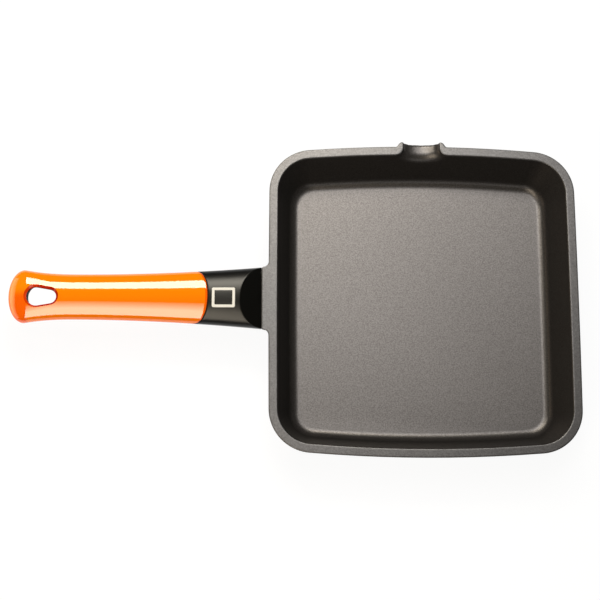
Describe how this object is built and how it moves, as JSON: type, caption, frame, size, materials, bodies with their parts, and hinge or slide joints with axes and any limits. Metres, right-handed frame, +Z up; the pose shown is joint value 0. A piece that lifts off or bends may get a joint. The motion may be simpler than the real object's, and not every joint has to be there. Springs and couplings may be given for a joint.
{
  "type": "griddle pan",
  "caption": "Square cast griddle pan with a smooth floor, a pouring spout, an inlaid steel base plate and a two-colour moulded handle with a hanging hole.",
  "frame": {"origin": "centre of the pan's underside, on the plane that it rests on", "axes": "+Z up; the handle runs towards -X; the pouring spout faces +Y"},
  "size_m": [0.4026, 0.2287, 0.0475],
  "materials": {
    "nonstick_aluminium": "cast aluminium under a dark grey satin non-stick coating",
    "plate_steel": "ferritic stainless steel, fine machined",
    "black_phenolic": "black phenolic moulding, fine matt texture",
    "orange_plastic": "orange gloss plastic under a clear coat",
    "zinc_steel": "bright zinc-plated steel"
  },
  "bodies": {
    "root": {"pan_body": "nonstick_aluminium", "induction_plate": "plate_steel", "handle_core": "black_phenolic", "grip_shell_upper": "orange_plastic", "grip_shell_lower": "orange_plastic", "thread_insert": "zinc_steel", "flat_washer": "zinc_steel", "spring_washer": "zinc_steel", "handle_screw": "zinc_steel"}
  },
  "joints": []
}
